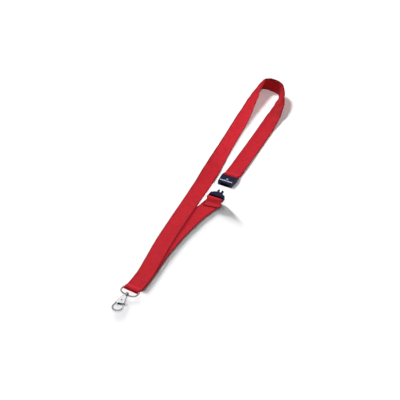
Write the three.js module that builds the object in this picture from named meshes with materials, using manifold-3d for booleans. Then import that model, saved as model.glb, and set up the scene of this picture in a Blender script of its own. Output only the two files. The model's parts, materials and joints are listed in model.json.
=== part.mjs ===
// Neck lanyard: a woven strap, a two-part safety release, a D-loop and a swivelling trigger hook.
// Millimetres, +Z up. The lanyard lies on the plane Z = 0 with its hook towards -Y, and the origin is at the
// centre of its bounding box's base.
import * as THREE from 'three';
import { mergeVertices } from 'three/addons/utils/BufferGeometryUtils.js';
import Module from 'manifold-3d';

const wasm = await Module();
wasm.setup();

// Strap.
const STRAP_WIDTH = 20;
const STRAP_THICKNESS = 0.9;
const STRAP_GAP = 0.25;
const NARROWED_WIDTH = 18.2;
const JOIN_GAP = 0.3;
const STEP_LENGTH = 4;
const LEAD_STEP = 1.6;
const FOLD_STEPS = 10;
const FOLD_SETTLE = 3;
const FOLD_WIDENING = 5;
// How far the upper and the lower layer drop from a bar's height, and where the drop starts and ends.
const UPPER_DROP = 2.85;
const LOWER_DROP = 0.35;
const DROP_START = 1;
const DROP_END = 8;
const TAIL_SKEW = THREE.MathUtils.degToRad(9);
const RUN_SKEW = THREE.MathUtils.degToRad(10.5);

// Height of the hook's axis, the D-loop's bar and both moulded bars.
const AXIS_HEIGHT = 2.8;
const FULL_THICKNESS = 2 * AXIS_HEIGHT;

// Roundness of the facets.
const MERGE_DISTANCE = 1e-4;
const CYLINDER_SIDES = 24;
const LARGE_CYLINDER_SIDES = 64;
const BEVEL_SEGMENTS = 2;
const CORNER_SEGMENTS = 4;
const SHOULDER_SEGMENTS = 8;
const OUTLINE_SEGMENTS = 16;
const EYE_SEGMENTS = 20;
// How far a cutting solid runs past what it cuts.
const OVERRUN = 1;

// Release: parallel moulded halves that face each other along the strap, a little out of line.
const FEMALE_CENTRE = [15.9, 30];
const MALE_CENTRE = [17.4, 30];
const RELEASE_HEADING = THREE.MathUtils.degToRad(2);
const MOULDED_BAR_RADIUS = 1.1;
const MOULDED_BAR_SPAN = 20.8;
const ARM_WIDTH = 1;
const EDGE_BEVEL = 0.6;
const SHELL_CORNER = 0.8;
const SHOULDER_CORNER = 1.5;
const SHELL_MOUTH_Y = 4.6;
const SHELL_LENGTH = 14.6;
const SHELL_MOUTH_WIDTH = 18.2;
const SHELL_BACK_WIDTH = 20.8;
const MOUTH_WIDTH = 10.6;
const MOUTH_HEIGHT = 3;
const MOUTH_DEPTH = 10.2;
const BAR_SETBACK = 3;
const SHOULDER_FRONT_Y = -16;
const SHOULDER_ARCH = 3.6;
const SHOULDER_LENGTH = 4.7;
const SHOULDER_WIDTH = 18.8;
const PRONG_LENGTH = 5.3;
const PRONG_WIDTH = 1.8;
const PRONG_HEIGHT = 2.4;
const PRONG_OFFSET = 2.4;
const PRONG_FLARE = 0.4;
const FLARE_LENGTH = 1.2;
const PRONG_TIP = 0.6;
const BARB_DEPTH = 0.7;
const BARB_LENGTH = 3;
const BARB_RAMP = 0.8;
const MALE_TAIL = 13;
const FEMALE_TAIL = 16.5;
const FEMALE_LEAD = 24;

// D-loop, swivel and hook. The hook points along -Y, and the D-loop is tilted a little round its hub.
const HOOK_X = -4.6;
const LOOP_BAR_Y = -171.5;
const LOOP_TILT = THREE.MathUtils.degToRad(7);
const LOOP_WIRE_RADIUS = 1.1;
const LOOP_HALF_WIDTH = 10.4;
const LOOP_CORNER = 1.6;
const LOOP_SIDE = 3.5;
const LOOP_DEPTH = 9.8;
const LOOP_SEGMENTS = 72;
const LOOP_SIDES = 8;
const RING_LEAD = 8;
const HUB_RADIUS = 2.7;
const HUB_LENGTH = 3.4;
const HUB_TOP_Y = -8.7;
const HUB_CENTRE_Y = HUB_TOP_Y - HUB_LENGTH / 2;
const POST_RADIUS = 1.2;
const POST_CLEARANCE = 0.4;
const POST_PLAY = 0.6;
const POST_END_Y = -17;
const POST_HEAD_RADIUS = 2.2;
const POST_HEAD_HEIGHT = 1.1;
const POST_DOME = 0.7;
const HEAD_RADIUS = 3.2;
const HEAD_CENTRE_Y = -15.7;
const EYE_OUTER_RADIUS = 6.7;
const EYE_INNER_RADIUS = 4.6;
const EYE_CENTRE_Y = -31.3;
const EYE_STRAIGHT = 1.5;
const EYE_THICKNESS = 3.8;
const EYE_BEVEL = 0.7;
const HEAD_BEVEL = 0.8;
const HEAD_END_Y = -26.6;
const SLOT_HEIGHT = 3.2;
const SLOT_LEFT = -2.9;
const SLOT_TOP_Y = -18.3;
const PIN_Y = -21.3;
const PIN_RADIUS = 0.85;
const PIN_LENGTH = 5.4;
const PIN_CLEARANCE = 0.1;
const CLAW_REACH = 12.5;
const GATE_TOP_Y = -25;
const GATE_THICKNESS = 2.6;
const GATE_INNER_X = 2.4;
const GATE_BEVEL = 0.3;
const ROOT_RADIUS = 2.3;
const ROOT_THICKNESS = 1.4;
const ROOT_STEP = 0.1;
const WEB_OVERLAP = 0.5;
const TAB_RADIUS = 2;
const TAB_POSITION = [6.2, -23.9];
const SPRING_RADIUS = 1.35;
const SPRING_WIRE = 0.22;
const SPRING_TURNS = 2;
const SPRING_RISE = 0.9;
const SPRING_BASE = 0.45;
const SPRING_LEG = 1.1;
const SPRING_LEG_SHARE = 0.12;
const SPRING_STEPS = 36;
const SPRING_SIDES = 3;

// Seams.
const SEAM_WIDTH = 16;
const SEAM_DEPTH = 1.8;
const SEAM_ZIGZAGS = 12;
const THREAD = 0.35;
const SEAM_GAP = 0.1;
const RING_SEAM_PLACE = [-1.5, -152];
const TAIL_SEAM_SETBACK = 10.5;
const TAIL_SEAM_OFFSET = 1.3;

// Routes of the strap's centre line, point by point: x, y, bank in degrees, height of the lowest edge. A bank
// of 0 lies flat and a bank of 90 stands on its edge.
const NECK_ROUTE = [
  [-2.31, -163.25, 0, 1.3], [-2.05, -160.7, 0, 1.3], [-1.7, -155.5, 0, 1.3], [-1.5, -150, 0, 1.3],
  [-1.2, -141, 0, 1.4], [-2.4, -125, 0, 1.4], [-5.6, -85, 0, 1.5], [-6.9, -45, 0, 1.7], [-7.6, -10, 0, 1.6],
  [-7.8, 20, 7, 0.9], [-8.1, 50, 25, 0.4], [-8.5, 72, 43, 0.2], [-9.2, 88, 52, 0.1], [-10.4, 109, 56, 0],
  [-12.3, 143, 57, 0], [-13.4, 165, 64, 0], [-14.8, 180, 70, 0], [-15.8, 192, 78, 0], [-17, 212, 90, 0],
  [-17.9, 225, 102, 0], [-17.2, 230.4, 105, 0], [-13.6, 232.4, 99, 0], [-6, 233.2, 88, 0],
  [4.5, 230.5, 85, 0], [10, 224.3, 74, 0], [14, 210, 52, 0], [16.8, 195, 30, 0.1], [17.5, 178, 12, 0.2],
  [17.8, 155, 2, 0.2], [17.8, 120, 0, 0.5], [17.65, 92, 0, 1.3], [17.52, 76.47, 0, 1.3],
];
const RELEASE_ROUTE = [
  [-2.31, -163.25, 0, 0.2], [-2.05, -160.7, 0, 0.2], [-1.6, -153, 0, 0.2], [-1.2, -138, 0, 0.2],
  [-1.4, -115, 0, 0.2], [-1.1, -98, 0, 0.2], [0.3, -81, 0, 0.2], [2.2, -63, 0, 0.2], [5.2, -44, 0, 0.2],
  [8.9, -25, 0, 0.2], [13.1, -11.4, 0, 0.2], [15.17, -1.94, 0, 0.2],
];

// Materials.
function material(color, roughness, metalness) {
  return new THREE.MeshStandardMaterial({ color, roughness, metalness });
}

const webbing = () => material(0xc8202e, 0.85, 0);
const thread = () => material(0xa81a28, 0.8, 0);
const moulding = () => material(0x15171f, 0.35, 0);
const plating = () => material(0xd6d8da, 0.18, 1);
const springSteel = () => material(0x9a9ca0, 0.35, 1);

// Solids from three.js geometry, joined and cut.
function toSolid(geometry) {
  const bare = geometry.clone();
  bare.deleteAttribute('normal');
  bare.deleteAttribute('uv');
  const merged = mergeVertices(bare, MERGE_DISTANCE);
  return new wasm.Manifold(new wasm.Mesh({
    numProp: 3,
    vertProperties: new Float32Array(merged.attributes.position.array),
    triVerts: new Uint32Array(merged.index.array),
  }));
}

function toGeometry(solid) {
  const mesh = solid.getMesh();
  const geometry = new THREE.BufferGeometry();
  geometry.setAttribute('position', new THREE.BufferAttribute(mesh.vertProperties, 3));
  geometry.setIndex(new THREE.BufferAttribute(mesh.triVerts, 1));
  geometry.computeVertexNormals();
  return geometry;
}

function named(name, geometry, surface) {
  const mesh = new THREE.Mesh(geometry, surface);
  mesh.name = name;
  return mesh;
}

function boxBetween(low, high) {
  const size = high.map((value, i) => value - low[i]);
  const geometry = new THREE.BoxGeometry(...size);
  return geometry.translate(...low.map((value, i) => value + size[i] / 2));
}

// A cylinder along an axis, 'x', 'y' or 'z', about a centre.
function cylinder(radius, length, axis, centre, sides = CYLINDER_SIDES) {
  const geometry = new THREE.CylinderGeometry(radius, radius, length, sides);
  if (axis === 'x') {
    geometry.rotateZ(Math.PI / 2);
  }
  if (axis === 'z') {
    geometry.rotateX(Math.PI / 2);
  }
  return geometry.translate(...centre);
}

// A plate of an outline, centred on the height of the hook's axis, with bevelled edges.
function plate(shape, thickness, bevel, curveSegments) {
  const geometry = new THREE.ExtrudeGeometry(shape, {
    depth: thickness - 2 * bevel,
    bevelEnabled: bevel > 0,
    bevelThickness: bevel,
    bevelSize: bevel,
    bevelOffset: -bevel,
    bevelSegments: BEVEL_SEGMENTS,
    curveSegments,
  });
  return geometry.translate(0, 0, AXIS_HEIGHT - thickness / 2 + bevel);
}

// The strap. A frame is the centre of a section, the direction across it and its width.
function frame(centre, across, width = STRAP_WIDTH) {
  return { centre, across, width };
}

function routeFrames(route) {
  const plan = new THREE.CatmullRomCurve3(route.map(([x, y]) => new THREE.Vector3(x, y, 0)));
  const steps = Math.ceil(plan.getLength() / STEP_LENGTH);
  const frames = [];
  for (let i = 0; i <= steps; i++) {
    const t = plan.getUtoTmapping(i / steps);
    const centre = plan.getPoint(t);
    const heading = plan.getTangent(t);
    const segment = Math.min(Math.floor(t * (route.length - 1)), route.length - 2);
    const along = t * (route.length - 1) - segment;
    const blend = along * along * (3 - 2 * along);
    const [, , bankA, lowA] = route[segment];
    const [, , bankB, lowB] = route[segment + 1];
    const bank = THREE.MathUtils.degToRad(bankA + (bankB - bankA) * blend);
    const low = lowA + (lowB - lowA) * blend;
    centre.z = low + (STRAP_WIDTH / 2) * Math.sin(bank) + (STRAP_THICKNESS / 2) * Math.abs(Math.cos(bank));
    const outward = new THREE.Vector3(-heading.y, heading.x, 0).multiplyScalar(Math.cos(bank));
    frames.push(frame(centre, outward.setZ(Math.sin(bank))));
  }
  return frames;
}

// The strap where it folds round a bar: the upper layer's lead, the half turn, the lower layer's lead. The
// direction points from the leads to the bar, and a lead's skew is its slope away from the bar's normal.
function foldFrames({ bar, heading, barRadius, upperLead, lowerLead, upperSkew = 0, lowerSkew = 0 }) {
  const direction = new THREE.Vector3(Math.sin(heading), Math.cos(heading), 0);
  const side = new THREE.Vector3(Math.cos(heading), -Math.sin(heading), 0);
  const radius = barRadius + STRAP_GAP + STRAP_THICKNESS / 2;
  const origin = new THREE.Vector3(bar[0], bar[1], AXIS_HEIGHT);
  const place = (forward, sideways, height) => origin.clone()
    .addScaledVector(direction, forward)
    .addScaledVector(side, sideways)
    .setZ(AXIS_HEIGHT + height);
  const lead = (distance, skew, height, drop) => {
    const offset = skew * distance * distance / (distance + FOLD_SETTLE);
    const slope = skew * distance * (distance + 2 * FOLD_SETTLE) / (distance + FOLD_SETTLE) ** 2;
    const share = THREE.MathUtils.smoothstep(distance, FOLD_SETTLE, FOLD_SETTLE + FOLD_WIDENING);
    const width = NARROWED_WIDTH + (STRAP_WIDTH - NARROWED_WIDTH) * share;
    const across = side.clone().addScaledVector(direction, slope).normalize();
    const fall = drop * THREE.MathUtils.smoothstep(distance, DROP_START, DROP_END);
    return frame(place(-distance, offset, height - fall), across, width);
  };
  const frames = [];
  const leadSteps = (length) => Math.ceil(length / LEAD_STEP);
  for (let i = leadSteps(upperLead); i > 0; i--) {
    frames.push(lead(upperLead * i / leadSteps(upperLead), upperSkew, radius, UPPER_DROP));
  }
  for (let i = 0; i <= FOLD_STEPS; i++) {
    const angle = Math.PI * (0.5 - i / FOLD_STEPS);
    frames.push(frame(place(radius * Math.cos(angle), 0, radius * Math.sin(angle)), side, NARROWED_WIDTH));
  }
  for (let i = 1; i <= leadSteps(lowerLead); i++) {
    frames.push(lead(lowerLead * i / leadSteps(lowerLead), lowerSkew, -radius, LOWER_DROP));
  }
  return frames;
}

// A strip through its frames: a box whose cross-sections are moved onto them.
function strip(frames) {
  const last = frames.length - 1;
  const geometry = new THREE.BoxGeometry(1, STRAP_THICKNESS, last, 1, 1, last);
  const position = geometry.attributes.position;
  const point = new THREE.Vector3();
  for (let i = 0; i < position.count; i++) {
    point.fromBufferAttribute(position, i);
    const index = Math.round(point.z + last / 2);
    const { centre, across, width } = frames[index];
    const before = frames[Math.max(index - 1, 0)].centre;
    const after = frames[Math.min(index + 1, last)].centre;
    const normal = new THREE.Vector3().subVectors(after, before).cross(across).normalize();
    const moved = centre.clone().addScaledVector(across, point.x * width).addScaledVector(normal, point.y);
    position.setXYZ(i, moved.x, moved.y, moved.z);
  }
  return geometry;
}

// A seam: one thread laid in a zigzag, flat on the strap.
function seam(x, y, height, heading) {
  const upper = [];
  const lower = [];
  for (let i = 0; i <= SEAM_ZIGZAGS; i++) {
    const across = SEAM_WIDTH * (i / SEAM_ZIGZAGS - 0.5);
    const along = (i % 2 ? 0.5 : -0.5) * (SEAM_DEPTH - THREAD);
    upper.push(new THREE.Vector2(across, along + THREAD));
    lower.unshift(new THREE.Vector2(across, along - THREAD));
  }
  const shape = new THREE.Shape([...upper, ...lower]);
  const geometry = new THREE.ExtrudeGeometry(shape, { depth: THREAD, bevelEnabled: false });
  geometry.rotateZ(-heading);
  return geometry.translate(x, y, height);
}

// A point of one half of the release, in the lanyard's frame.
function onRelease([x, y], across, along) {
  const sine = Math.sin(RELEASE_HEADING);
  const cosine = Math.cos(RELEASE_HEADING);
  return [x + across * cosine + along * sine, y + along * cosine - across * sine];
}

// A moulded bar on two arms, reaching back from a body's end.
function barOnArms(bodyEnd, barY) {
  const outer = MOULDED_BAR_SPAN / 2;
  const inner = outer - ARM_WIDTH;
  const back = barY + Math.sign(barY - bodyEnd) * MOULDED_BAR_RADIUS;
  const front = bodyEnd - Math.sign(barY - bodyEnd) * EDGE_BEVEL;
  const [low, high] = [Math.min(front, back), Math.max(front, back)];
  const bottom = AXIS_HEIGHT - MOULDED_BAR_RADIUS;
  const top = AXIS_HEIGHT + MOULDED_BAR_RADIUS;
  const bar = toSolid(cylinder(MOULDED_BAR_RADIUS, 2 * inner + ARM_WIDTH, 'x', [0, barY, AXIS_HEIGHT]));
  const right = toSolid(boxBetween([inner, low, bottom], [outer, high, top]));
  const left = toSolid(boxBetween([-outer, low, bottom], [-inner, high, top]));
  return bar.add(right).add(left);
}

// Female half: a shell with a mouth, a strap slot and a bar.
function femaleHalf() {
  const back = SHELL_MOUTH_Y + SHELL_LENGTH;
  const half = SHELL_MOUTH_WIDTH / 2;
  const corner = SHELL_CORNER;
  const outline = new THREE.Shape();
  outline.moveTo(-half + corner, SHELL_MOUTH_Y);
  outline.lineTo(half - corner, SHELL_MOUTH_Y);
  outline.quadraticCurveTo(half, SHELL_MOUTH_Y, half, SHELL_MOUTH_Y + corner);
  outline.lineTo(SHELL_BACK_WIDTH / 2, back);
  outline.lineTo(-SHELL_BACK_WIDTH / 2, back);
  outline.lineTo(-half, SHELL_MOUTH_Y + corner);
  outline.quadraticCurveTo(-half, SHELL_MOUTH_Y, -half + corner, SHELL_MOUTH_Y);
  const shell = toSolid(plate(outline, FULL_THICKNESS, EDGE_BEVEL, CORNER_SEGMENTS));
  const mouth = toSolid(boxBetween(
    [-MOUTH_WIDTH / 2, SHELL_MOUTH_Y - OVERRUN, AXIS_HEIGHT - MOUTH_HEIGHT / 2],
    [MOUTH_WIDTH / 2, SHELL_MOUTH_Y + MOUTH_DEPTH, AXIS_HEIGHT + MOUTH_HEIGHT / 2],
  ));
  return toGeometry(shell.subtract(mouth).add(barOnArms(back, back + BAR_SETBACK)));
}

// A prong with a barb that faces outwards, on the given side.
function prong(side) {
  const shape = new THREE.Shape();
  const inner = PRONG_OFFSET - PRONG_WIDTH / 2;
  const outer = PRONG_OFFSET + PRONG_WIDTH / 2;
  const base = SHOULDER_FRONT_Y + SHOULDER_ARCH - OVERRUN;
  const tip = SHOULDER_FRONT_Y + SHOULDER_ARCH + PRONG_LENGTH;
  const barbStart = tip - BARB_LENGTH;
  shape.moveTo(inner, base);
  shape.lineTo(outer + PRONG_FLARE, base);
  shape.lineTo(outer, base + OVERRUN + FLARE_LENGTH);
  shape.lineTo(outer, barbStart);
  shape.lineTo(outer + BARB_DEPTH, barbStart + BARB_RAMP);
  shape.lineTo(outer, tip - PRONG_TIP);
  shape.quadraticCurveTo(outer, tip, inner + PRONG_TIP, tip);
  shape.quadraticCurveTo(inner, tip, inner, tip - PRONG_TIP);
  const geometry = plate(shape, PRONG_HEIGHT, 0, CORNER_SEGMENTS);
  if (side < 0) {
    geometry.rotateY(Math.PI);
    geometry.translate(0, 0, 2 * AXIS_HEIGHT);
  }
  return toSolid(geometry);
}

// Male half: a shoulder with an arched front and two prongs, a strap slot and a bar.
function maleHalf() {
  const back = SHOULDER_FRONT_Y - SHOULDER_LENGTH;
  const half = SHOULDER_WIDTH / 2;
  const corner = SHOULDER_CORNER;
  const front = SHOULDER_FRONT_Y;
  const outline = new THREE.Shape();
  outline.moveTo(-half, back);
  outline.lineTo(half, back);
  outline.lineTo(half, front - corner);
  outline.quadraticCurveTo(half, front, half - corner, front);
  outline.quadraticCurveTo(0, front + 2 * SHOULDER_ARCH, -half + corner, front);
  outline.quadraticCurveTo(-half, front, -half, front - corner);
  const shoulder = toSolid(plate(outline, FULL_THICKNESS, EDGE_BEVEL, SHOULDER_SEGMENTS));
  const solid = shoulder.add(prong(1)).add(prong(-1));
  return toGeometry(solid.add(barOnArms(back, back - BAR_SETBACK)));
}

// The D-loop's centre line: a straight bar, tight corners, short sides and a sweep into the hub.
class LoopCurve extends THREE.Curve {
  constructor() {
    super();
    const half = LOOP_HALF_WIDTH;
    this.path = new THREE.Path();
    this.path.moveTo(0, 0);
    this.path.lineTo(half - LOOP_CORNER, 0);
    this.path.absarc(half - LOOP_CORNER, -LOOP_CORNER, LOOP_CORNER, Math.PI / 2, 0, true);
    this.path.lineTo(half, -LOOP_SIDE);
    this.path.quadraticCurveTo(half, -LOOP_DEPTH, 0, -LOOP_DEPTH);
    this.path.quadraticCurveTo(-half, -LOOP_DEPTH, -half, -LOOP_SIDE);
    this.path.lineTo(-half, -LOOP_CORNER);
    this.path.absarc(-half + LOOP_CORNER, -LOOP_CORNER, LOOP_CORNER, Math.PI, Math.PI / 2, true);
    this.path.lineTo(0, 0);
  }

  getPoint(t, target = new THREE.Vector3()) {
    const point = this.path.getPointAt(t % 1);
    return target.set(point.x, point.y, AXIS_HEIGHT);
  }
}

function dLoop() {
  const tube = new THREE.TubeGeometry(new LoopCurve(), LOOP_SEGMENTS, LOOP_WIRE_RADIUS, LOOP_SIDES, true);
  const wire = toSolid(tube);
  const hubCentre = [0, HUB_CENTRE_Y, AXIS_HEIGHT];
  const hub = toSolid(cylinder(HUB_RADIUS, HUB_LENGTH, 'y', hubCentre));
  const bore = toSolid(cylinder(POST_RADIUS + POST_CLEARANCE, 2 * HUB_LENGTH, 'y', hubCentre));
  return toGeometry(wire.add(hub).subtract(bore)).translate(0, -HUB_CENTRE_Y, 0);
}

// The swivel post: a domed head inside the D-loop, and a shaft through its hub into the hook's head.
function swivelPost() {
  const headBase = HUB_TOP_Y + POST_PLAY;
  const profile = [
    [0, POST_END_Y],
    [POST_RADIUS, POST_END_Y],
    [POST_RADIUS, headBase],
    [POST_HEAD_RADIUS, headBase],
    [POST_HEAD_RADIUS, headBase + POST_HEAD_HEIGHT / 2],
    [POST_HEAD_RADIUS * POST_DOME, headBase + POST_HEAD_HEIGHT],
    [0, headBase + POST_HEAD_HEIGHT],
  ];
  const points = profile.map(([radius, y]) => new THREE.Vector2(radius, y));
  const geometry = new THREE.LatheGeometry(points, CYLINDER_SIDES);
  return geometry.translate(0, 0, AXIS_HEIGHT);
}

// The hook's outline: a small circle at the head and a large one at the eye, joined by their tangents.
function hookOutline() {
  const span = HEAD_CENTRE_Y - EYE_CENTRE_Y;
  const lean = Math.asin((EYE_OUTER_RADIUS - HEAD_RADIUS) / span);
  const outline = new THREE.Shape();
  outline.absarc(0, HEAD_CENTRE_Y, HEAD_RADIUS, lean, Math.PI - lean, false);
  outline.absarc(0, EYE_CENTRE_Y, EYE_OUTER_RADIUS, Math.PI - lean, 2 * Math.PI + lean, false);
  return outline;
}

// The eye's hole: two half circles with a short straight between them.
function eyeHole() {
  const outline = new THREE.Shape();
  outline.absarc(0, EYE_CENTRE_Y + EYE_STRAIGHT, EYE_INNER_RADIUS, 0, Math.PI, false);
  outline.absarc(0, EYE_CENTRE_Y, EYE_INNER_RADIUS, Math.PI, 2 * Math.PI, false);
  return toSolid(plate(outline, 2 * FULL_THICKNESS, 0, EYE_SEGMENTS));
}

// The hook's body: a thick head, a thinner eye, a slot for the trigger and bores for the post and the pin.
function hookBody() {
  const right = EYE_OUTER_RADIUS + OVERRUN;
  const bottom = EYE_CENTRE_Y - EYE_OUTER_RADIUS - OVERRUN;
  const top = FULL_THICKNESS + OVERRUN;
  const eyePlate = toSolid(plate(hookOutline(), EYE_THICKNESS, EYE_BEVEL, OUTLINE_SEGMENTS));
  const headZone = toSolid(boxBetween([-right, HEAD_END_Y, -OVERRUN], [right, 0, top]));
  const thickPlate = toSolid(plate(hookOutline(), FULL_THICKNESS, HEAD_BEVEL, OUTLINE_SEGMENTS));
  const slot = toSolid(boxBetween(
    [SLOT_LEFT, HEAD_END_Y - OVERRUN, AXIS_HEIGHT - SLOT_HEIGHT / 2],
    [right, SLOT_TOP_Y, AXIS_HEIGHT + SLOT_HEIGHT / 2],
  ));
  const pivot = [0, PIN_Y, AXIS_HEIGHT];
  const reach = toSolid(cylinder(CLAW_REACH, 2 * FULL_THICKNESS, 'z', pivot, LARGE_CYLINDER_SIDES));
  const gateZone = toSolid(boxBetween([GATE_INNER_X - OVERRUN, bottom, -OVERRUN], [right, GATE_TOP_Y, top]));
  const boreTop = HEAD_CENTRE_Y + HEAD_RADIUS + OVERRUN;
  const boreEnd = POST_END_Y - JOIN_GAP;
  const boreCentre = [0, (boreTop + boreEnd) / 2, AXIS_HEIGHT];
  const postBore = toSolid(cylinder(POST_RADIUS + PIN_CLEARANCE, boreTop - boreEnd, 'y', boreCentre));
  const pinBore = toSolid(cylinder(PIN_RADIUS + PIN_CLEARANCE, 2 * FULL_THICKNESS, 'z', pivot));
  const plates = eyePlate.add(thickPlate.intersect(headZone));
  const body = plates.subtract(eyeHole()).subtract(slot).subtract(reach.intersect(gateZone));
  return toGeometry(body.subtract(postBore).subtract(pinBore));
}

// The trigger: an arm that completes the eye's rim, a thinner root round the pin and a thumb tab.
function trigger() {
  const low = AXIS_HEIGHT - GATE_THICKNESS / 2;
  const rootLow = low + ROOT_STEP;
  const pivot = [0, PIN_Y, AXIS_HEIGHT];
  const right = EYE_OUTER_RADIUS + OVERRUN;
  const rim = toSolid(plate(hookOutline(), GATE_THICKNESS, GATE_BEVEL, OUTLINE_SEGMENTS));
  const reach = toSolid(cylinder(CLAW_REACH - JOIN_GAP, FULL_THICKNESS, 'z', pivot, LARGE_CYLINDER_SIDES));
  const armZone = toSolid(boxBetween(
    [GATE_INNER_X, EYE_CENTRE_Y - EYE_OUTER_RADIUS, 0],
    [right, PIN_Y + OVERRUN, FULL_THICKNESS],
  ));
  const arm = rim.intersect(armZone).intersect(reach).subtract(eyeHole());
  const rootCentre = [0, PIN_Y, rootLow + ROOT_THICKNESS / 2];
  const disc = toSolid(cylinder(ROOT_RADIUS, ROOT_THICKNESS, 'z', rootCentre));
  const web = toSolid(boxBetween(
    [0, PIN_Y - ROOT_RADIUS, rootLow],
    [GATE_INNER_X + WEB_OVERLAP, PIN_Y + ROOT_RADIUS / 2, rootLow + ROOT_THICKNESS],
  ));
  const tab = toSolid(cylinder(TAB_RADIUS, GATE_THICKNESS, 'z', [...TAB_POSITION, AXIS_HEIGHT]));
  const bore = toSolid(cylinder(PIN_RADIUS + PIN_CLEARANCE, FULL_THICKNESS, 'z', pivot));
  return toGeometry(arm.add(disc).add(web).add(tab).subtract(bore));
}

// The trigger's spring: coils round the pin with a leg against the head and a leg against the arm.
class SpringCurve extends THREE.Curve {
  getPoint(t, target = new THREE.Vector3()) {
    const coiled = 1 - 2 * SPRING_LEG_SHARE;
    const turn = THREE.MathUtils.clamp((t - SPRING_LEG_SHARE) / coiled, 0, 1);
    const angle = Math.PI * (0.5 + 2 * SPRING_TURNS * turn);
    const overrun = t < 0.5 ? Math.min(t - SPRING_LEG_SHARE, 0) : Math.max(t - 1 + SPRING_LEG_SHARE, 0);
    const straight = SPRING_LEG * overrun / SPRING_LEG_SHARE;
    return target.set(
      SPRING_RADIUS * Math.cos(angle) - straight * Math.sin(angle),
      PIN_Y + SPRING_RADIUS * Math.sin(angle) + straight * Math.cos(angle),
      AXIS_HEIGHT + SPRING_BASE + SPRING_RISE * turn,
    );
  }
}

function triggerSpring() {
  const section = new THREE.Shape();
  section.absarc(0, 0, SPRING_WIRE, 0, 2 * Math.PI, false);
  return new THREE.ExtrudeGeometry(section, {
    steps: SPRING_STEPS,
    curveSegments: SPRING_SIDES,
    bevelEnabled: false,
    extrudePath: new SpringCurve(),
  });
}

function triggerPin() {
  return cylinder(PIN_RADIUS, PIN_LENGTH, 'z', [0, PIN_Y, AXIS_HEIGHT]);
}

// Assembly.
const femaleBarY = SHELL_MOUTH_Y + SHELL_LENGTH + BAR_SETBACK;
const maleBarY = SHOULDER_FRONT_Y - SHOULDER_LENGTH - BAR_SETBACK;
const strapTop = AXIS_HEIGHT + MOULDED_BAR_RADIUS + STRAP_GAP + STRAP_THICKNESS - UPPER_DROP;
const seamHeight = strapTop + SEAM_GAP;
const tailSeam = onRelease(MALE_CENTRE, TAIL_SEAM_OFFSET, maleBarY - TAIL_SEAM_SETBACK);
const endSeam = onRelease(FEMALE_CENTRE, 0, femaleBarY + TAIL_SEAM_SETBACK);
// Tilting the D-loop about its hub carries its bar along an arc.
const ringBar = [
  HOOK_X - HUB_CENTRE_Y * Math.sin(LOOP_TILT),
  LOOP_BAR_Y + HUB_CENTRE_Y * (1 - Math.cos(LOOP_TILT)),
];

const ringFold = foldFrames({
  bar: ringBar,
  heading: Math.PI + LOOP_TILT,
  barRadius: LOOP_WIRE_RADIUS,
  upperLead: RING_LEAD,
  lowerLead: RING_LEAD,
});
const maleFold = foldFrames({
  bar: onRelease(MALE_CENTRE, 0, maleBarY),
  heading: RELEASE_HEADING,
  barRadius: MOULDED_BAR_RADIUS,
  upperLead: MALE_TAIL,
  lowerLead: RING_LEAD,
  upperSkew: TAIL_SKEW,
  lowerSkew: -RUN_SKEW,
});
const femaleFold = foldFrames({
  bar: onRelease(FEMALE_CENTRE, 0, femaleBarY),
  heading: RELEASE_HEADING + Math.PI,
  barRadius: MOULDED_BAR_RADIUS,
  upperLead: FEMALE_LEAD,
  lowerLead: FEMALE_TAIL,
});

const strap = new THREE.Group();
strap.add(
  named('neck_strap', strip(routeFrames(NECK_ROUTE)), webbing()),
  named('ring_fold', strip(ringFold), webbing()),
  named('release_strap', strip(routeFrames(RELEASE_ROUTE)), webbing()),
  named('release_tail', strip(maleFold), webbing()),
  named('neck_strap_end', strip(femaleFold), webbing()),
  named('ring_seam', seam(...RING_SEAM_PLACE, seamHeight, 0), thread()),
  named('tail_seam', seam(...tailSeam, seamHeight, RELEASE_HEADING - TAIL_SKEW), thread()),
  named('end_seam', seam(...endSeam, seamHeight, RELEASE_HEADING), thread()),
);

const female = named('female_half', femaleHalf(), moulding());
const male = named('male_half', maleHalf(), moulding());
female.position.set(...FEMALE_CENTRE, 0);
male.position.set(...MALE_CENTRE, 0);
female.rotation.z = -RELEASE_HEADING;
male.rotation.z = -RELEASE_HEADING;

const loop = new THREE.Group();
loop.position.set(0, HUB_CENTRE_Y, 0);
loop.rotation.z = -LOOP_TILT;
loop.add(named('d_loop', dLoop(), plating()));

const hook = new THREE.Group();
hook.position.set(HOOK_X, LOOP_BAR_Y, 0);
hook.add(
  loop,
  named('swivel_post', swivelPost(), plating()),
  named('hook_body', hookBody(), plating()),
  named('trigger', trigger(), plating()),
  named('trigger_pin', triggerPin(), plating()),
  named('trigger_spring', triggerSpring(), springSteel()),
);

const lanyard = new THREE.Group();
lanyard.add(strap, female, male, hook);
lanyard.updateMatrixWorld(true);
const bounds = new THREE.Box3().setFromObject(lanyard, true);
const middle = bounds.getCenter(new THREE.Vector3());
lanyard.position.set(-middle.x, -middle.y, -bounds.min.z);

export default lanyard;
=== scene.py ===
"""Looks of a neck lanyard: a red woven strap, a dark safety release, a plated D-loop and a swivel hook.

Metres, in the row frame. Sizes of the drawing are in millimetres, in the drawing's own frame, and placed()
brings them to the row frame.
"""

import math

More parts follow.
